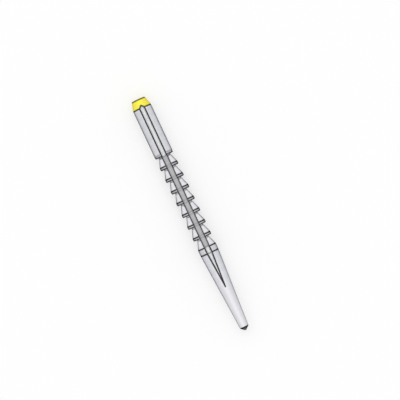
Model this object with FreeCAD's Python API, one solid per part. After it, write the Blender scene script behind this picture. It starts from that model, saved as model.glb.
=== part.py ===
"""Prefabricated root canal post, turned from one stainless rod and lying on its side.

The post runs along +X. Its plain grooved head is at the -X end, then come a stack of cone barbs, a collar
and a long plain taper to the blunt tip. The head's end cone carries a coat of yellow lacquer, the size
code. Two straight vent channels, on opposite sides, let the cement escape. The post rests on the two
edges of its lower channel, and the origin is on that surface, below the middle of its length.
Sizes are in millimetres.
"""

import FreeCAD, Part
import math
import os

from FreeCAD import Vector

# The turned blank, from the head's end face to the tip.
overall_length = 15.0
body_diameter = 1.14
end_face_diameter = 0.826
end_cone_length = 0.553
shoulder_station = 3.66
shoulder_bevel_length = 0.135
shoulder_bevel_depth = 0.018
barb_count = 8
barb_pitch = 0.763
neck_diameter = 0.70
lip_length = 0.17
lip_round = 0.055
collar_length = 0.38
tip_diameter = 0.53
tip_point_length = 0.19
tip_flat_diameter = 0.09

# The coat of lacquer, which fills a shallow recess round the end cone and over the end face.
lacquer_thickness = 0.03

# The vent channels: a V groove along head, collar and taper, and a deeper slot along the barbs.
channel_count = 2
channel_width = 0.30
groove_angle = 100.0
groove_nose_radius = 0.04
groove_lift_angle = 31.9
slot_floor_radius = 0.28

# How far a cutter reaches outside the blank.
cutter_clearance = 0.4

body_radius = body_diameter / 2
end_face_radius = end_face_diameter / 2
neck_radius = neck_diameter / 2
tip_radius = tip_diameter / 2
tip_flat_radius = tip_flat_diameter / 2

# Stations along the axis, from the head's end face.
collar_station = shoulder_station + barb_count * barb_pitch - lip_length
taper_station = collar_station + collar_length
point_station = overall_length - tip_point_length

# The recessed end cone lies one coat's thickness under the lacquered one.
end_cone_slope = math.atan2(body_radius - end_face_radius, end_cone_length)
recess_depth = lacquer_thickness / math.cos(end_cone_slope)
recessed_rim_radius = body_radius - recess_depth
recessed_end_radius = end_face_radius - recess_depth + lacquer_thickness * math.tan(end_cone_slope)

# The channels' edges lie on the outside diameter, this far above and below the axis.
edge_height = math.sqrt(body_radius**2 - (channel_width / 2) ** 2)


def line(start, end):
    """A straight edge of the half profile, between two (station, radius) points."""
    return Part.LineSegment(Vector(start[0], start[1], 0), Vector(end[0], end[1], 0)).toShape()


def polyline(points):
    """Straight edges through the points, in order."""
    return [line(a, b) for a, b in zip(points, points[1:])]


def lip_corner(rim, back):
    """A lip's rounded corner: a quarter circle from its land (rim) in to its back face (back)."""
    bulge = lip_round * math.sqrt(0.5)
    middle = Vector(rim[0] + bulge, back[1] + bulge, 0)
    return Part.Arc(Vector(rim[0], rim[1], 0), middle, Vector(back[0], back[1], 0)).toShape()


def turned(edges):
    """A closed half profile swung round the axis, in two halves that meet at the post's widest lines."""
    half = Part.Face(Part.Wire(edges)).revolve(Vector(0, 0, 0), Vector(1, 0, 0), 180)
    other_half = half.copy()
    other_half.rotate(Vector(0, 0, 0), Vector(1, 0, 0), 180)
    return half.fuse(other_half)


def head_profile():
    """The end face and end cone, recessed for the lacquer, the plain shank and the bevelled shoulder."""
    return polyline([
        (lacquer_thickness, 0),
        (lacquer_thickness, recessed_end_radius),
        (end_cone_length, recessed_rim_radius),
        (end_cone_length, body_radius),
        (shoulder_station - shoulder_bevel_length, body_radius),
        (shoulder_station, body_radius - shoulder_bevel_depth),
        (shoulder_station, neck_radius),
    ])


def barb_profile(index):
    """One barb: a cone that widens towards the tip, a lip with a rounded corner, and a square back face."""
    start = shoulder_station + index * barb_pitch
    back = start + barb_pitch
    lip_edge = (back - lip_length, body_radius)
    rim = (back - lip_round, body_radius)
    corner_end = (back, body_radius - lip_round)
    edges = polyline([(start, neck_radius), lip_edge, rim])
    edges.append(lip_corner(rim, corner_end))
    edges.append(line(corner_end, (back, neck_radius)))
    return edges


def apical_profile():
    """The last cone, which runs into the collar, then the plain taper and the blunt point."""
    return polyline([
        (shoulder_station + (barb_count - 1) * barb_pitch, neck_radius),
        (collar_station, body_radius),
        (taper_station, body_radius),
        (point_station, tip_radius),
        (overall_length, tip_flat_radius),
        (overall_length, 0),
    ])


def turned_blank():
    """The whole post as it leaves the lathe, before its channels are milled."""
    edges = head_profile()
    for index in range(barb_count - 1):
        edges += barb_profile(index)
    edges += apical_profile()
    edges.append(line((overall_length, 0), (lacquer_thickness, 0)))
    return turned(edges)


def lacquer_blank():
    """The coat over the end cone and face, flush with the shank, before the channels cut it."""
    return turned(polyline([
        (0, 0),
        (0, end_face_radius),
        (end_cone_length, body_radius),
        (end_cone_length, recessed_rim_radius),
        (lacquer_thickness, recessed_end_radius),
        (lacquer_thickness, 0),
        (0, 0),
    ]))


def groove_section():
    """The V cutter's section at the end cone's rim, square to the axis: two flanks and a round nose."""
    half_angle = math.radians(groove_angle / 2)
    apex = edge_height - channel_width / 2 / math.tan(half_angle)
    nose_centre = apex + groove_nose_radius / math.sin(half_angle)
    top = body_radius + cutter_clearance
    reach = (top - apex) * math.tan(half_angle)
    touch_y = groove_nose_radius * math.cos(half_angle)
    touch_z = nose_centre - groove_nose_radius * math.sin(half_angle)
    left_top = Vector(end_cone_length, -reach, top)
    left_touch = Vector(end_cone_length, -touch_y, touch_z)
    bottom = Vector(end_cone_length, 0, nose_centre - groove_nose_radius)
    right_touch = Vector(end_cone_length, touch_y, touch_z)
    right_top = Vector(end_cone_length, reach, top)
    return Part.Face(Part.Wire([
        Part.LineSegment(left_top, left_touch).toShape(),
        Part.Arc(left_touch, bottom, right_touch).toShape(),
        Part.LineSegment(right_touch, right_top).toShape(),
        Part.LineSegment(right_top, left_top).toShape(),
    ]))


def groove_cutter():
    """The V cutter's path: lifted out through the end cone, and level from its rim past the run-out."""
    section = groove_section()
    lift_length = cutter_clearance / math.tan(math.radians(groove_lift_angle))
    lifted = section.extrude(Vector(-lift_length, 0, cutter_clearance))
    level = section.extrude(Vector(overall_length, 0, 0))
    return level.fuse(lifted)


def slot_cutter():
    """The deeper slot through the barbs, from the head's shoulder to the collar."""
    corner = Vector(shoulder_station, -channel_width / 2, slot_floor_radius)
    height = body_radius + cutter_clearance - slot_floor_radius
    return Part.makeBox(collar_station - shoulder_station, channel_width, height, corner)


def channel_cutters():
    """Both cutters, repeated round the axis."""
    cutters = []
    for index in range(channel_count):
        for cutter in (groove_cutter(), slot_cutter()):
            cutter.rotate(Vector(0, 0, 0), Vector(1, 0, 0), 360.0 * index / channel_count)
            cutters.append(cutter)
    return cutters


def at_rest(shape):
    """Puts the post's middle over the origin, on the edges of its lower channel."""
    placed = shape.copy()
    placed.translate(Vector(-overall_length / 2, 0, edge_height))
    return placed


def main():
    cutters = channel_cutters()
    pieces = {
        "post": turned_blank().cut(cutters),
        "colour_code_lacquer": lacquer_blank().cut(cutters),
    }
    os.makedirs("parts", exist_ok=True)
    for name, shape in pieces.items():
        solid = at_rest(shape).Solids[0]
        solid.exportStep(f"parts/{name}.step")
        box = solid.BoundBox
        print(name, "solids", len(shape.Solids), "valid", solid.isValid(), "faces", len(solid.Faces))
        print("  volume", round(solid.Volume, 4), "mm3, x", round(box.XMin, 3), round(box.XMax, 3))
        print("  y", round(box.YMin, 3), round(box.YMax, 3), ", z", round(box.ZMin, 3), round(box.ZMax, 3))


main()
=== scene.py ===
import math

import bmesh
import bpy
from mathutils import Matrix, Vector


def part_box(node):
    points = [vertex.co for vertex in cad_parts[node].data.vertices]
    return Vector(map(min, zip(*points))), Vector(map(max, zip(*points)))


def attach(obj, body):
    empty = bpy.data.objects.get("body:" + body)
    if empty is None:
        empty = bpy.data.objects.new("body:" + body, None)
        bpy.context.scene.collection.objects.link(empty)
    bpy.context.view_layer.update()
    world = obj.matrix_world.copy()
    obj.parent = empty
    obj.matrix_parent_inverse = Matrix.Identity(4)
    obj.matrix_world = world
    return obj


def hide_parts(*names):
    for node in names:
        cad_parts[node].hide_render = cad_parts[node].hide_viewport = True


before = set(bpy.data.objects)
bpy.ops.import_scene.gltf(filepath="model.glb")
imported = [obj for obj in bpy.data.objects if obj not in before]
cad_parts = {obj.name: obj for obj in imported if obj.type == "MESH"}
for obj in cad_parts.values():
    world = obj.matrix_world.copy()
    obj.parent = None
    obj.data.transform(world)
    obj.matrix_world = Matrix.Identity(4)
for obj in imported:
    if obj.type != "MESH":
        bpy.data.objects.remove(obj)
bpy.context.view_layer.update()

# The post itself is one length of stainless rod, turned to a plain head, a stack of cone barbs, a collar
# and a long taper. Its end cone is turned a coat's thickness under size, to take the lacquer. It is
# modelled in millimetres from the head's end face along +X, and brought to metres when it is whole.
overall_length = 15.0
body_radius = 0.57
end_face_radius = 0.413
end_cone_length = 0.553
shoulder_station = 3.66
shoulder_bevel_length = 0.135
shoulder_bevel_depth = 0.018
barb_count = 8
barb_pitch = 0.763
neck_radius = 0.35
lip_length = 0.17
lip_round = 0.055
collar_length = 0.38
tip_radius = 0.265
tip_point_length = 0.19
tip_flat_radius = 0.045
lacquer_thickness = 0.03
channel_half_width = 0.15
groove_angle = math.radians(100)
groove_nose_radius = 0.04
groove_lift_angle = math.radians(31.9)
slot_floor_radius = 0.28

# A tool's nose leaves these radii in the necks and on the edges.
neck_fillet = 0.025
crest_round = 0.03
collar_end_round = 0.12
edge_break = 0.008
point_round = 0.016

bevel_station = shoulder_station - shoulder_bevel_length
collar_station = shoulder_station + barb_count * barb_pitch - lip_length
taper_station = collar_station + collar_length
point_station = overall_length - tip_point_length

end_cone_slope = math.atan2(body_radius - end_face_radius, end_cone_length)
recess_depth = lacquer_thickness / math.cos(end_cone_slope)
recessed_rim_radius = body_radius - recess_depth
recessed_end_radius = end_face_radius - recess_depth + lacquer_thickness * math.tan(end_cone_slope)

edge_height = math.sqrt(body_radius**2 - channel_half_width**2)
groove_apex = edge_height - channel_half_width / math.tan(groove_angle / 2)
groove_floor = groove_apex + groove_nose_radius * (1 / math.sin(groove_angle / 2) - 1)
taper_slope = (body_radius - tip_radius) / (point_station - taper_station)
run_out_station = taper_station + (body_radius - groove_floor) / taper_slope
ramp_and_cone = math.tan(groove_lift_angle) + math.tan(end_cone_slope)
notch_station = end_cone_length - (body_radius - groove_floor) / ramp_and_cone

ring_sides = 140
arc_step = math.radians(15)
longest_step = 0.3


def eased(corners):
    """Rings, as (station, radius), along a half profile of (station, radius, round) corners, where each
    corner that has a round becomes an arc."""
    rings = [corners[0][:2]]
    for before, corner, after in zip(corners, corners[1:], corners[2:]):
        if corner[2] == 0:
            rings.append(corner[:2])
            continue
        here = Vector(corner[:2])
        towards_before = (Vector(before[:2]) - here).normalized()
        towards_after = (Vector(after[:2]) - here).normalized()
        opening = towards_before.angle(towards_after)
        centre = here + (towards_before + towards_after).normalized() * corner[2] / math.sin(opening / 2)
        reach = corner[2] / math.tan(opening / 2)
        first = here + towards_before * reach - centre
        last = here + towards_after * reach - centre
        sweep = math.pi - opening
        steps = max(2, round(sweep / arc_step))
        for step in range(steps + 1):
            share = step / steps
            mixed = first * math.sin((1 - share) * sweep) + last * math.sin(share * sweep)
            rings.append(tuple(centre + mixed / math.sin(sweep)))
    rings.append(corners[-1][:2])
    return rings


def stepped(rings):
    """The same rings, with more of them along each straight run, so that no face is long and thin."""
    stepped_rings = [rings[0]]
    for before, after in zip(rings, rings[1:]):
        count = max(1, math.ceil(abs(after[0] - before[0]) / longest_step))
        for step in range(1, count + 1):
            share = step / count
            stepped_rings.append(tuple(a + (b - a) * share for a, b in zip(before, after)))
    return stepped_rings


def turn(name, rings):
    """Draws a disc out along the axis, ring by ring, and opens or closes each ring to its radius. The first
    and the last ring stay filled, so they close the ends."""
    bpy.ops.object.select_all(action="DESELECT")
    station, radius = rings[0]
    bpy.ops.mesh.primitive_circle_add(
        vertices=ring_sides, radius=radius, fill_type="NGON",
        location=(station, 0, 0), rotation=(0, math.radians(90), 0),
    )
    work = bpy.context.object
    work.name = name
    bpy.ops.object.transform_apply(location=True, rotation=True, scale=True)
    bpy.ops.object.mode_set(mode="EDIT")
    bpy.ops.mesh.select_mode(type="FACE")
    bpy.ops.mesh.select_all(action="SELECT")
    for next_station, next_radius in rings[1:]:
        bpy.ops.mesh.extrude_region_move(TRANSFORM_OT_translate={"value": (next_station - station, 0, 0)})
        opening = next_radius / radius
        bpy.ops.transform.resize(value=(1, opening, opening), center_override=(next_station, 0, 0))
        station, radius = next_station, next_radius
    bpy.ops.mesh.select_all(action="SELECT")
    bpy.ops.mesh.normals_make_consistent(inside=False)
    bpy.ops.mesh.select_all(action="DESELECT")
    bpy.ops.object.mode_set(mode="OBJECT")
    return work


profile = [
    (lacquer_thickness, recessed_end_radius, 0),
    (end_cone_length, recessed_rim_radius, 0),
    (end_cone_length, body_radius, edge_break / 2),
    (bevel_station, body_radius, crest_round),
    (shoulder_station, body_radius - shoulder_bevel_depth, edge_break),
    (shoulder_station, neck_radius, neck_fillet),
]
for index in range(barb_count - 1):
    back = shoulder_station + (index + 1) * barb_pitch
    profile += [
        (back - lip_length, body_radius, crest_round),
        (back, body_radius, lip_round),
        (back, neck_radius, neck_fillet),
    ]
profile += [
    (collar_station, body_radius, crest_round),
    (taper_station, body_radius, collar_end_round),
    (point_station, tip_radius, point_round),
    (overall_length, tip_flat_radius, point_round),
    (overall_length, tip_flat_radius / 3, 0),
]
post = turn("turned_post", stepped(eased(profile)))

# The steel's looks are built from nodes, and what its finishes share is built as groups of nodes. The CAD's
# lacquer says where the post's end face and its axis lie in the frame.
low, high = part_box("colour_code_lacquer")
head_end_x = low.x
axis_z = (low.z + high.z) / 2
millimetre = 0.001


def node(tree, kind, inputs=None, **options):
    """Adds a node with its options, and fills its inputs with values or with other nodes' outputs."""
    made = tree.nodes.new(kind)
    for name, value in options.items():
        setattr(made, name, value)
    for name, value in (inputs or {}).items():
        if isinstance(value, bpy.types.NodeSocket):
            tree.links.new(value, made.inputs[name])
        else:
            made.inputs[name].default_value = value
    return made


def maths(tree, operation, first, second=0.0, third=0.0):
    """One Math node's result."""
    return node(tree, "ShaderNodeMath", {0: first, 1: second, 2: third}, operation=operation).outputs[0]


def spread(tree, value, low, high, to_low, to_high, soft=False):
    """The value, brought from one range to another and held inside it, with soft ends if asked."""
    ranges = {"Value": value, "From Min": low, "From Max": high, "To Min": to_low, "To Max": to_high}
    steps = "SMOOTHSTEP" if soft else "LINEAR"
    return node(tree, "ShaderNodeMapRange", ranges, clamp=True, interpolation_type=steps).outputs["Result"]


def blended(tree, share, first, second):
    """Two colours mixed by a share, as paint."""
    mix = node(tree, "ShaderNodeMix", {"Factor": share}, data_type="RGBA")
    for socket, colour in ((mix.inputs[6], first), (mix.inputs[7], second)):
        if isinstance(colour, bpy.types.NodeSocket):
            tree.links.new(colour, socket)
        else:
            socket.default_value = (*colour, 1)
    return mix.outputs[2]


def noise(tree, place, fineness, detail):
    """Noise over a place, with so many grains a metre."""
    inputs = {"Vector": place, "Scale": fineness, "Detail": detail}
    return node(tree, "ShaderNodeTexNoise", inputs).outputs["Fac"]


def noise_along(tree, way, detail):
    """Noise along one way only."""
    inputs = {"W": way, "Scale": 1.0, "Detail": detail}
    return node(tree, "ShaderNodeTexNoise", inputs, noise_dimensions="1D").outputs["Fac"]


def widened(tree, value):
    """Noise lies mostly between 0.3 and 0.7, so this brings it to the whole of 0 to 1."""
    return spread(tree, value, 0.3, 0.7, 0.0, 1.0)


def object_place(tree):
    """Where a point lies on its piece, in metres."""
    return node(tree, "ShaderNodeTexCoord").outputs["Object"]


def turned_place(tree):
    """Where a point lies as the post was turned: X, Y and Z in millimetres from end face and axis."""
    moved = node(tree, "ShaderNodeMapping", {
        "Vector": object_place(tree),
        "Location": (-head_end_x / millimetre, 0.0, -axis_z / millimetre),
        "Scale": (1 / millimetre, 1 / millimetre, 1 / millimetre),
    })
    return node(tree, "ShaderNodeSeparateXYZ", {"Vector": moved.outputs[0]}).outputs


def effect(name, inputs, outputs):
    """An empty shader group with float inputs and float outputs, and its two end nodes."""
    group = bpy.data.node_groups.new(name, "ShaderNodeTree")
    for label, value in inputs.items():
        socket = group.interface.new_socket(label, in_out="INPUT", socket_type="NodeSocketFloat")
        socket.default_value = value
    for label in outputs:
        group.interface.new_socket(label, in_out="OUTPUT", socket_type="NodeSocketFloat")
    return group, group.nodes.new("NodeGroupInput"), group.nodes.new("NodeGroupOutput")


# Rings left by the lathe's tool: a fine thread of lines round the axis, over slow uneven bands. Pitch is
# in metres.
turn_wander = 1.2
turns_per_band = 6.0
turning_marks, marks_in, marks_out = effect(
    "turning_marks", {"Pitch": 4e-5, "Unevenness": 0.5}, ["Height", "Shade"])
place = object_place(turning_marks)
along = node(turning_marks, "ShaderNodeSeparateXYZ", {"Vector": place}).outputs["X"]
wander = noise(turning_marks, place, 900.0, 2.0)
turns = maths(turning_marks, "DIVIDE", along, marks_in.outputs["Pitch"])
turns = maths(turning_marks, "MULTIPLY_ADD", wander, turn_wander, turns)
fine_lines = noise_along(turning_marks, turns, 3.0)
bands = noise_along(turning_marks, maths(turning_marks, "DIVIDE", turns, turns_per_band), 2.0)
height = maths(turning_marks, "MULTIPLY_ADD", bands, marks_in.outputs["Unevenness"], fine_lines)
turning_marks.links.new(height, marks_out.inputs["Height"])
turning_marks.links.new(widened(turning_marks, bands), marks_out.inputs["Shade"])

# Handling marks: hair scratches that run any way, and faint cloudy smears. Each set of scratches has its
# turn and the scratches' fineness, as grains a metre across them.
scratch_sets = ((0.5, 9000.0), (-0.8, 11000.0), (1.9, 8000.0))
scratch_tilt = 0.3
scratch_stretch = Vector((1.0, 0.04, 0.5))
scratch_threshold = (0.66, 0.74)
smear_threshold = (0.35, 0.7)
handling_marks, hands_in, hands_out = effect("handling_marks", {"Size": 1.0}, ["Scratches", "Smears"])
place = object_place(handling_marks)
scaled = node(handling_marks, "ShaderNodeVectorMath", {0: place, "Scale": hands_in.outputs["Size"]},
              operation="SCALE").outputs[0]
scratches = 0.0
for turn_angle, fineness in scratch_sets:
    stretched = node(handling_marks, "ShaderNodeMapping",
                     {"Vector": scaled, "Rotation": (turn_angle, scratch_tilt * turn_angle, turn_angle),
                      "Scale": scratch_stretch * fineness}).outputs[0]
    hairs = spread(handling_marks, noise(handling_marks, stretched, 1.0, 1.0), *scratch_threshold, 0.0, 1.0)
    scratches = maths(handling_marks, "MAXIMUM", scratches, hairs)
smears = spread(handling_marks, noise(handling_marks, scaled, 1400.0, 4.0), *smear_threshold, 0.0, 1.0)
handling_marks.links.new(scratches, hands_out.inputs["Scratches"])
handling_marks.links.new(smears, hands_out.inputs["Smears"])

# A dark line of painted shade runs along every edge: in rings where the profile turns a corner, faint at the
# shoulder's bevel, and in two lines along each vent channel, which close on its point. Reach is in
# millimetres, and Deep is how much of the rings shows down in the channels. The painted shade is whole up to
# edge_shade_whole and gone from edge_shade_clear, both in reaches.
edge_shade_whole = 0.3
edge_shade_clear = 1.75
edge_shade_raggedness = 0.7
faint_ring_share = 0.42
joint_lap = 0.012
run_out_trail = 0.08
lip_edge_station = shoulder_station - 0.35 * lip_round
crest_foot_radius = body_radius - 2.0 * lip_round
crest_top_radius = body_radius - 1.1 * lip_round
notch_tilt = math.cos(math.atan2(channel_half_width, end_cone_length - notch_station))

painted_edge_shade, edge_shade_in, edge_shade_out = effect(
    "painted_edge_shade", {"Reach": 0.043, "Rings": 1.0, "Lines": 1.0, "Deep": 0.0}, ["Film"])
reach = edge_shade_in.outputs["Reach"]
along, across, above = turned_place(painted_edge_shade)


def edge_shade_maths(operation, first, second=0.0):
    """One Math node's result, in the painted edge shade's own group."""
    return maths(painted_edge_shade, operation, first, second)


def gap_between(first, second):
    """How far apart two values are."""
    return edge_shade_maths("ABSOLUTE", edge_shade_maths("SUBTRACT", first, second))


def held(value, low, high):
    """The value, held between two stations."""
    return edge_shade_maths("MINIMUM", edge_shade_maths("MAXIMUM", value, low), high)


ragged = edge_shade_maths("SUBTRACT", noise(painted_edge_shade, object_place(painted_edge_shade), 12000.0, 3.0), 0.5)
ragged = edge_shade_maths("MULTIPLY", edge_shade_maths("MULTIPLY", ragged, edge_shade_raggedness), reach)


def edge_shade_at(gap):
    """The painted shade is whole close to an edge, and thins out to nothing past its reach, raggedly."""
    whole_to = edge_shade_maths("MULTIPLY", reach, edge_shade_whole)
    clear_from = edge_shade_maths("MULTIPLY", reach, edge_shade_clear)
    return spread(painted_edge_shade, edge_shade_maths("ADD", gap, ragged), whole_to, clear_from, 1.0, 0.0, soft=True)


# Rings lie at the lacquer's joint, on both edges of each lip, and at both ends of the taper.
on_barbs = held(along, lip_edge_station, collar_station)
off_barbs = gap_between(along, on_barbs)
ring_gap = gap_between(along, end_cone_length + joint_lap)
for first in (lip_edge_station, shoulder_station - lip_length):
    to_ring = edge_shade_maths("PINGPONG", edge_shade_maths("SUBTRACT", on_barbs, first), barb_pitch / 2)
    ring_gap = edge_shade_maths("MINIMUM", ring_gap, edge_shade_maths("ADD", to_ring, off_barbs))
for station in (taper_station, point_station):
    ring_gap = edge_shade_maths("MINIMUM", ring_gap, gap_between(along, station))
faint_ring = edge_shade_maths("MULTIPLY", edge_shade_at(gap_between(along, bevel_station)), faint_ring_share)
rings = edge_shade_maths("MAXIMUM", edge_shade_at(ring_gap), faint_ring)

# They show on the crests and along the taper, and down in the channels as far as Deep says.
squares = edge_shade_maths("ADD", edge_shade_maths("POWER", across, 2.0), edge_shade_maths("POWER", above, 2.0))
from_axis = edge_shade_maths("SQRT", squares)
on_crest = spread(painted_edge_shade, from_axis, crest_foot_radius, crest_top_radius, 0.0, 1.0)
on_taper = spread(painted_edge_shade, along, collar_station, taper_station, 0.0, 1.0)
shown = edge_shade_maths("MAXIMUM", edge_shade_maths("MAXIMUM", on_crest, on_taper), edge_shade_in.outputs["Deep"])
rings = edge_shade_maths("MULTIPLY", edge_shade_maths("MULTIPLY", rings, shown), edge_shade_in.outputs["Rings"])

# The lines follow the channel's edges, which open from the notch and close on the point where it runs out.
opens_out = spread(painted_edge_shade, along, notch_station, end_cone_length, 0.0, channel_half_width)
closes = spread(painted_edge_shade, along, taper_station, run_out_station, channel_half_width, 0.0)
to_line = gap_between(edge_shade_maths("ABSOLUTE", across), edge_shade_maths("MINIMUM", opens_out, closes))
square_to_line = spread(painted_edge_shade, along, end_cone_length - joint_lap, end_cone_length, notch_tilt, 1.0)
to_line = edge_shade_maths("MULTIPLY", to_line, square_to_line)
past_ends = gap_between(along, held(along, notch_station, run_out_station + run_out_trail))
lines = edge_shade_maths("MULTIPLY", edge_shade_at(edge_shade_maths("ADD", to_line, past_ends)), edge_shade_in.outputs["Lines"])
painted_edge_shade.links.new(edge_shade_maths("MAXIMUM", rings, lines), edge_shade_out.inputs["Film"])


def placed(tree, group, inputs=None):
    """One use of an effect group, with its own values."""
    used = node(tree, "ShaderNodeGroup", node_tree=group)
    for name, value in (inputs or {}).items():
        used.inputs[name].default_value = value
    return used.outputs


def new_material(name):
    """A material with only its output, and the surface that feeds it."""
    made = bpy.data.materials.new(name)
    made.use_nodes = True
    made.node_tree.nodes.clear()
    tree = made.node_tree
    shader = tree.nodes.new("ShaderNodeBsdfPrincipled")
    out = tree.nodes.new("ShaderNodeOutputMaterial")
    tree.links.new(shader.outputs["BSDF"], out.inputs["Surface"])
    return made, tree, shader


def set_sockets(shader, values):
    """Sets constants straight on the surface's own sockets."""
    for name, value in values.items():
        shader.inputs[name].default_value = value


# All of the steel's finishes have these in common. A mark adds to the roughness where it lies, and
# corner_reach is in metres.
# The first colour is the shade that is painted into the corners and along the edges.
painted_shade_colour = (0.025, 0.025, 0.03)
grazing_tint = (0.0, 0.0, 0.0, 1)
tool_shade = 0.93
corner_reach = 1.2e-4
closed_corner = 0.35
open_corner = 0.9
shade_coat_blue = 1.03
smear_roughness = 0.06
scratch_roughness = 0.10
edge_shade_roughness = 0.15
scratch_height = -0.4


def steel(name, colour, roughness, depth, marks, clearness=1.0, edges=None, corner_shade=0.3, tone=None):
    """Machined stainless steel: its colour varies with the tool's marks, shade is painted into its corners
    and along the lines on its edges, and the scratches catch the light. Depth is that of the marks, in
    metres. Less clearness is a faintly blue clear coat that takes more light the flatter it is looked at, as
    painted shade."""
    made, tree, shader = new_material(name)
    tool = placed(tree, *marks)
    hands = placed(tree, handling_marks)
    edge_shade = placed(tree, painted_edge_shade, edges)["Film"]
    under_shade_coat = tuple(min(c / clearness, 1.0) for c in colour)
    base = blended(tree, tool["Shade"], under_shade_coat, tuple(c * tool_shade for c in under_shade_coat))
    if tone is not None:
        base = tone(tree, base)
    # Painted shade: corners that the occlusion finds closed are darkened, and so are the lines along the
    # edges.
    corners = node(tree, "ShaderNodeAmbientOcclusion", {"Distance": corner_reach}, samples=8).outputs["AO"]
    base = blended(tree, spread(tree, corners, closed_corner, open_corner, corner_shade, 0.0), base, painted_shade_colour)
    base = blended(tree, edge_shade, base, painted_shade_colour)
    tree.links.new(base, shader.inputs["Base Color"])
    set_sockets(shader, {"Metallic": 1.0, "Specular Tint": grazing_tint})
    # The coat's tint darkens the steel the flatter it is looked at, as painted shade towards the outline.
    if clearness < 1.0:
        shade_coat_tint = (clearness, clearness, min(clearness * shade_coat_blue, 1.0), 1)
        set_sockets(shader, {"Coat Weight": 1.0, "Coat IOR": 1.0, "Coat Roughness": roughness,
                             "Coat Tint": shade_coat_tint})
    rough = maths(tree, "MULTIPLY_ADD", hands["Smears"], smear_roughness, roughness)
    rough = maths(tree, "MULTIPLY_ADD", hands["Scratches"], scratch_roughness, rough)
    rough = maths(tree, "MULTIPLY_ADD", edge_shade, edge_shade_roughness, rough)
    tree.links.new(rough, shader.inputs["Roughness"])
    height = maths(tree, "MULTIPLY_ADD", hands["Scratches"], scratch_height, tool["Height"])
    bump = node(tree, "ShaderNodeBump", {"Height": height, "Distance": depth, "Strength": 1.0})
    tree.links.new(bump.outputs["Normal"], shader.inputs["Normal"])
    return made


def brighter_to_the_tip(tree, base):
    """Painted light: the taper is made lighter from the collar down, so it is lightest at its thin end."""
    share = spread(tree, turned_place(tree)["X"], taper_station, point_station, 0.0, 1.0)
    return blended(tree, share, base, (1.0, 1.0, 1.0))


def pick(work, kind, wanted):
    """Selects the faces, edges or vertices that the test accepts, and nothing else. The test gets the
    middle of each, and its normal or, for an edge, the way that it runs."""
    modes = {"verts": "VERT", "edges": "EDGE", "faces": "FACE"}
    bpy.ops.mesh.select_mode(type=modes[kind])
    bpy.ops.mesh.select_all(action="DESELECT")
    grid = bmesh.from_edit_mesh(work.data)
    for item in getattr(grid, kind):
        if kind == "verts":
            middle, way = item.co, item.normal
        elif kind == "edges":
            start, end = (corner.co for corner in item.verts)
            middle, way = (start + end) / 2, end - start
        else:
            middle, way = item.calc_center_median(), item.normal
        if wanted(middle, way):
            item.select_set(True)
    bmesh.update_edit_mesh(work.data)


def take_up(work):
    """Selects one object and nothing else, for the next tool to work on."""
    bpy.ops.object.select_all(action="DESELECT")
    bpy.context.view_layer.objects.active = work
    work.select_set(True)


def finish_faces(work, material, wanted):
    """Gives the faces that the test accepts a finish of their own."""
    if material.name not in work.data.materials:
        work.data.materials.append(material)
    take_up(work)
    work.active_material_index = work.data.materials.find(material.name)
    bpy.ops.object.mode_set(mode="EDIT")
    pick(work, "faces", wanted)
    bpy.ops.object.material_slot_assign()
    bpy.ops.mesh.select_all(action="DESELECT")
    bpy.ops.object.mode_set(mode="OBJECT")


body_marks = (turning_marks, {"Pitch": 4.5e-5, "Unevenness": 0.6})
cone_marks = (turning_marks, {"Pitch": 3.5e-5, "Unevenness": 0.4})
# The cones are painted lighter, and the lips, the shoulder's bevel and the point darker, than the turned
# steel: lit and shaded copies of it, as painted light and shade.
turned_steel = steel("turned_steel", (0.77, 0.775, 0.78), roughness=0.22, depth=8e-7, marks=body_marks,
                     clearness=0.78)
shaded_bevel_steel = steel("shaded_bevel_steel", (0.62, 0.625, 0.63), roughness=0.24, depth=8e-7, marks=body_marks,
                    clearness=0.70, edges={"Reach": 0.03})
shaded_lip_steel = steel("shaded_lip_steel", (0.64, 0.645, 0.65), roughness=0.24, depth=8e-7, marks=body_marks,
                  clearness=0.64)
lit_cone_steel = steel("lit_cone_steel", (0.89, 0.89, 0.89), roughness=0.20, depth=6e-7, marks=cone_marks,
                   clearness=0.89, corner_shade=0.12)
band_steel = steel("band_steel", (0.74, 0.745, 0.75), roughness=0.22, depth=8e-7, marks=body_marks,
                   clearness=0.75)
taper_steel = steel("taper_steel", (0.78, 0.785, 0.80), roughness=0.34, depth=7e-7, marks=body_marks,
                    clearness=0.80, tone=brighter_to_the_tip)
shaded_point_steel = steel("shaded_point_steel", (0.16, 0.162, 0.165), roughness=0.34, depth=1e-6, marks=cone_marks,
                    clearness=0.75)

# Faces and edges are picked by place with this slack, in millimetres. Cones, and a cutter's long edges, are
# picked by how far their normals, or the edges themselves, go along the post.
pick_slack = 1e-4
least_lean = 0.1
first_neck = shoulder_station + pick_slack
finish_faces(post, turned_steel, lambda place, normal: True)
finish_faces(post, shaded_bevel_steel, lambda place, normal: bevel_station < place.x < shoulder_station)
finish_faces(post, shaded_lip_steel, lambda place, normal: first_neck < place.x < collar_station)
finish_faces(post, lit_cone_steel,
             lambda place, normal: first_neck < place.x < collar_station and abs(normal.x) > least_lean)
finish_faces(post, band_steel, lambda place, normal: collar_station < place.x)
finish_faces(post, taper_steel, lambda place, normal: taper_station < place.x)
finish_faces(post, shaded_point_steel, lambda place, normal: point_station < place.x)

# The two vent channels are milled into the turned post, above and below. A V cutter lifts out through the
# end cone and runs level along the head, and again along collar and taper until the taper falls under it.
# A square cutter takes the barbs down below their necks.
slot_corner = 0.02
cutter_clearance = 0.4
head_groove_end = shoulder_station + 0.1
cutter_top = body_radius + cutter_clearance
merge_distance = 2e-5
side_wall_lean = 0.9


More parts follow.
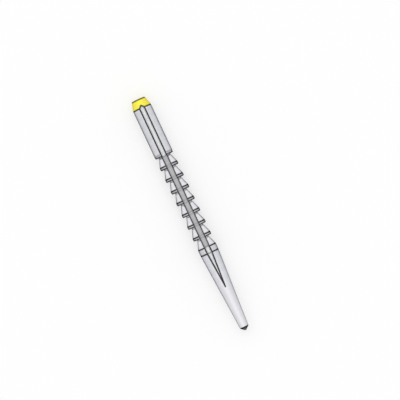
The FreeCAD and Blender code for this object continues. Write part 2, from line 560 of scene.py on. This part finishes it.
def block(name, low, high):
    """A block between two corners, ready to be shaped in edit mode."""
    bpy.ops.object.select_all(action="DESELECT")
    size = Vector(high) - Vector(low)
    bpy.ops.mesh.primitive_cube_add(size=1, location=(Vector(low) + Vector(high)) / 2, scale=size)
    bpy.context.object.name = name
    bpy.ops.object.transform_apply(location=True, rotation=True, scale=True)
    bpy.ops.object.mode_set(mode="EDIT")
    bpy.ops.mesh.select_all(action="DESELECT")
    return bpy.context.object


def round_foot(cutter, foot, offset, segments):
    """Rounds the long edges that lie at a cutter's foot."""
    pick(cutter, "edges", lambda place, way: place.z < foot + pick_slack and abs(way.x) > least_lean)
    bpy.ops.mesh.bevel(offset=offset, segments=segments, affect="EDGES")


def v_cutter(name, start, end, lifted):
    """A wedge with a round nose between two stations, and a ramp on its head end where it lifts out."""
    half_angle = groove_angle / 2
    half_top = (cutter_top - groove_apex) * math.tan(half_angle)
    cutter = block(name, (start, -half_top, groove_apex), (end, half_top, cutter_top))
    pick(cutter, "verts", lambda place, normal: place.z < (groove_apex + cutter_top) / 2)
    bpy.ops.transform.resize(value=(1, 0, 1), center_override=(0, 0, groove_apex))
    bpy.ops.mesh.remove_doubles(threshold=merge_distance)
    round_foot(cutter, groove_apex, groove_nose_radius / math.tan(half_angle), 6)
    if lifted:
        pick(cutter, "faces", lambda place, normal: normal.x < -least_lean)
        lift = (-cutter_clearance / math.tan(groove_lift_angle), 0, cutter_clearance)
        bpy.ops.mesh.extrude_region_move(TRANSFORM_OT_translate={"value": lift})
    bpy.ops.mesh.select_all(action="DESELECT")
    bpy.ops.object.mode_set(mode="OBJECT")
    return cutter


def slot_cutter(name):
    """A square cutter with slightly rounded corners, from the shoulder to the collar."""
    cutter = block(name, (shoulder_station, -channel_half_width, slot_floor_radius),
                   (collar_station, channel_half_width, cutter_top))
    round_foot(cutter, slot_floor_radius, slot_corner, 3)
    bpy.ops.mesh.select_all(action="DESELECT")
    bpy.ops.object.mode_set(mode="OBJECT")
    return cutter


def with_opposite(cutter):
    """A cutter, and a copy of it for the opposite channel, half a turn round the axis."""
    copy = cutter.copy()
    copy.data = cutter.data.copy()
    bpy.context.collection.objects.link(copy)
    take_up(copy)
    copy.rotation_euler = (math.pi, 0, 0)
    bpy.ops.object.transform_apply(location=True, rotation=True, scale=True)
    return [cutter, copy]


def mill(work, cutters):
    """Takes each cutter's shape out of the work."""
    take_up(work)
    for cutter in cutters:
        cut = work.modifiers.new("milled", "BOOLEAN")
        cut.operation = "DIFFERENCE"
        cut.solver = "EXACT"
        cut.object = cutter
        cut.material_mode = "TRANSFER"
        bpy.ops.object.modifier_apply(modifier=cut.name)


# Marks of the milling cutter: long lines that run with the channel. Width is in metres.
line_squeeze = (0.01, 1.0, 1.0)
milling_marks, marks_in, marks_out = effect("milling_marks", {"Width": 1.5e-5}, ["Height", "Shade"])
squeezed = node(milling_marks, "ShaderNodeVectorMath", {0: object_place(milling_marks), 1: line_squeeze},
                operation="MULTIPLY").outputs[0]
lines_a_metre = maths(milling_marks, "DIVIDE", 1.0, marks_in.outputs["Width"])
scaled = node(milling_marks, "ShaderNodeVectorMath", {0: squeezed, "Scale": lines_a_metre}, operation="SCALE")
cutter_lines = noise(milling_marks, scaled.outputs[0], 1.0, 2.0)
milling_marks.links.new(cutter_lines, marks_out.inputs["Height"])
milling_marks.links.new(widened(milling_marks, cutter_lines), marks_out.inputs["Shade"])

groove_marks = (milling_marks, {"Width": 2.2e-5})
bright_milled_steel = steel("bright_milled_steel", (0.93, 0.935, 0.95), roughness=0.48, depth=3e-7,
                            marks=groove_marks, edges={"Rings": 0.45})
# The slot's floor is painted dark as shade down in the deep slot, and the lips' rings show faintly on it as
# painted shade.
shaded_slot_steel = steel("shaded_slot_steel", (0.46, 0.455, 0.47), roughness=0.36, depth=4e-7,
                          marks=groove_marks, edges={"Reach": 0.036, "Lines": 0.4, "Deep": 0.2})
side_milled_steel = steel("side_milled_steel", (0.74, 0.74, 0.755), roughness=0.30, depth=3e-7,
                          marks=groove_marks, edges={"Rings": 0.0, "Lines": 0.0})

head_grooves = with_opposite(v_cutter("head_groove", end_cone_length, head_groove_end, lifted=True))
taper_grooves = with_opposite(v_cutter("taper_groove", collar_station, overall_length, lifted=False))
barb_slots = with_opposite(slot_cutter("barb_slot"))
for cutter in head_grooves + taper_grooves:
    cutter.data.materials.append(bright_milled_steel)
for cutter in barb_slots:
    cutter.data.materials.append(shaded_slot_steel)
    finish_faces(cutter, side_milled_steel, lambda place, normal: abs(normal.y) > side_wall_lean)
mill(post, head_grooves + taper_grooves + barb_slots)

smooth_angle = math.radians(28)


def shaded(work):
    """Merges what the cuts left double, and shades round surfaces smooth up to their edges."""
    take_up(work)
    bpy.ops.object.mode_set(mode="EDIT")
    bpy.ops.mesh.select_all(action="SELECT")
    bpy.ops.mesh.remove_doubles(threshold=merge_distance)
    bpy.ops.mesh.select_all(action="DESELECT")
    bpy.ops.object.mode_set(mode="OBJECT")
    bpy.ops.object.shade_smooth_by_angle(angle=smooth_angle)
    weighted = work.modifiers.new("weighted", "WEIGHTED_NORMAL")
    weighted.keep_sharp = True
    bpy.ops.object.modifier_apply(modifier=weighted.name)


def set_down(work):
    """Brings a piece from millimetres along its own axis to metres, at its place in the frame."""
    take_up(work)
    work.scale = (millimetre, millimetre, millimetre)
    work.location = (head_end_x, 0, axis_z)
    bpy.ops.object.transform_apply(location=True, rotation=True, scale=True)


shaded(post)
set_down(post)
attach(post, "root")
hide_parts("post")

# The colour code is a thin coat of yellow lacquer, dipped over the end cone and end face and baked on. It
# lies flush with the head's outside, and the vent channels were milled after it, so they cut its rim.
coat_round = 0.035
coat_profile = [
    (0, end_face_radius / 3, 0),
    (0, end_face_radius, coat_round),
    (end_cone_length, body_radius, edge_break / 2),
    (end_cone_length, recessed_rim_radius, 0),
    (lacquer_thickness, recessed_end_radius, 0),
    (lacquer_thickness, recessed_end_radius / 2, 0),
]
lemon = (1.0, 0.97, 0.15)
lemon_in_the_dips = (0.97, 0.93, 0.13)
smeared_lemon = (0.80, 0.69, 0.05)
end_edge_shade_colour = (0.07, 0.055, 0.015)
lacquer_tint = (0.95, 0.91, 0.75, 1)
lacquer_roughness = 0.45
scratched_roughness = 0.6
peel_fineness = 9000.0
peel_depth = 1.5e-6
smear_share = 0.25
dark_edge_share = 0.92
end_shade_start = 0.2 * coat_round
end_shade_fades = 1.7 * coat_round
end_shade_end = 3.2 * coat_round


def yellow_lacquer():
    """Lemon-yellow lacquer, thin enough for the steel to shine through, with slight orange peel, and with
    shade painted dark where it rounds the end face and along its edges. The flatter it is looked at, the
    deeper its colour."""
    made, tree, shader = new_material("yellow_lacquer")
    hands = placed(tree, handling_marks, {"Size": 0.8})
    edge_shade = placed(tree, painted_edge_shade)["Film"]
    peel = noise(tree, object_place(tree), peel_fineness, 1.5)
    base = blended(tree, widened(tree, peel), lemon, lemon_in_the_dips)
    base = blended(tree, maths(tree, "MULTIPLY", hands["Smears"], smear_share), base, smeared_lemon)
    # Painted shade: a dark band round the end face's rounded edge, added to the dark lines along the edges.
    along = turned_place(tree)["X"]
    end_edge_shade = maths(tree, "MULTIPLY", spread(tree, along, 0.0, end_shade_start, 0.0, 1.0),
                   spread(tree, along, end_shade_fades, end_shade_end, 1.0, 0.0, soft=True))
    dark_edges = maths(tree, "MULTIPLY", maths(tree, "MAXIMUM", edge_shade, end_edge_shade), dark_edge_share)
    base = blended(tree, dark_edges, base, end_edge_shade_colour)
    tree.links.new(base, shader.inputs["Base Color"])
    rough = spread(tree, hands["Scratches"], 0.0, 1.0, lacquer_roughness, scratched_roughness)
    tree.links.new(rough, shader.inputs["Roughness"])
    set_sockets(shader, {"Metallic": 0.35, "Specular Tint": grazing_tint, "Coat Weight": 1.0,
                         "Coat IOR": 1.0, "Coat Roughness": lacquer_roughness, "Coat Tint": lacquer_tint})
    bump = node(tree, "ShaderNodeBump", {"Height": peel, "Distance": peel_depth, "Strength": 1.0})
    tree.links.new(bump.outputs["Normal"], shader.inputs["Normal"])
    return made


coat = turn("lacquered_end", eased(coat_profile))
coat.data.materials.append(yellow_lacquer())
mill(coat, head_grooves)
shaded(coat)
set_down(coat)
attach(coat, "root")
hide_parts("colour_code_lacquer")
for cutter in head_grooves + taper_grooves + barb_slots:
    bpy.data.objects.remove(cutter)

# The floor is a plain white table that the post lies on, lifted part of the way to pure white.
floor_half = 0.45
table_colour = (0.93, 0.93, 0.93, 1)
white_lift = 0.5
bpy.ops.mesh.primitive_plane_add(size=2 * floor_half, location=(0, 0, 0))
floor = bpy.context.object
floor.name = "floor"
table_white, tree, shader = new_material("table_white")
set_sockets(shader, {"Base Color": table_colour, "Roughness": 0.9, "Specular IOR Level": 0.0})
glow = node(tree, "ShaderNodeEmission", {"Color": (1, 1, 1, 1), "Strength": 1.0}).outputs[0]
rays = node(tree, "ShaderNodeLightPath").outputs
mirrored = maths(tree, "MAXIMUM", rays["Is Glossy Ray"], rays["Is Transmission Ray"])
seen = maths(tree, "MAXIMUM", rays["Is Camera Ray"], mirrored)
lift = maths(tree, "MULTIPLY", seen, white_lift)
mixed = node(tree, "ShaderNodeMixShader", {0: lift, 1: shader.outputs["BSDF"], 2: glow}).outputs[0]
tree.links.new(mixed, tree.nodes["Material Output"].inputs["Surface"])
floor.data.materials.append(table_white)

# Light comes from a white tent all round, a little darker half way up its sides and brightest overhead, and
# from one large softbox beyond the head end.
tent = ((0.0, 0.98), (0.35, 0.89), (0.70, 0.98), (1.0, 1.12))
sky = bpy.data.worlds.new("light_tent")
bpy.context.scene.world = sky
sky.use_nodes = True
tree = sky.node_tree
tree.nodes.clear()
direction = node(tree, "ShaderNodeTexCoord").outputs["Generated"]
height = node(tree, "ShaderNodeSeparateXYZ", {"Vector": direction}).outputs["Z"]
ramp = node(tree, "ShaderNodeValToRGB", {"Fac": height})
marks = ramp.color_ramp.elements
marks_at_first = len(marks)
for index, (stop, level) in enumerate(tent):
    mark = marks[index] if index < marks_at_first else marks.new(stop)
    mark.position = stop
    mark.color = (level, level, level, 1)
light = node(tree, "ShaderNodeBackground", {"Color": ramp.outputs["Color"], "Strength": 1.0}).outputs[0]
node(tree, "ShaderNodeOutputWorld", {"Surface": light})

box_distance = 1.5
box_tilt = math.radians(38)
box_side = 1.4
box_power = 2.4
lamp_data = bpy.data.lights.new("softbox", "AREA")
lamp_data.shape = "SQUARE"
lamp_data.size = box_side
lamp_data.energy = box_power
softbox = bpy.data.objects.new("softbox", lamp_data)
softbox.location = (-box_distance * math.sin(box_tilt), 0, box_distance * math.cos(box_tilt))
softbox.rotation_euler = (0, -box_tilt, 0)
bpy.context.scene.collection.objects.link(softbox)

# The camera looks straight down, turned so that the post leans from upper left to lower right.
picture_side = 0.023594
lens = 200.0
sensor = 36.0
lean = math.radians(64.96)
view_centre = (-0.000583, 0.000799, axis_z)
camera_data = bpy.data.cameras.new("camera")
camera_data.lens = lens
camera_data.sensor_width = sensor
camera_data.clip_start = 0.001
camera_data.clip_end = 5.0
camera = bpy.data.objects.new("camera", camera_data)
camera.location = (view_centre[0], view_centre[1], view_centre[2] + picture_side * lens / sensor)
camera.rotation_euler = (0, 0, lean)
bpy.context.scene.collection.objects.link(camera)
bpy.context.scene.camera = camera
bpy.context.scene.view_settings.view_transform = "Standard"
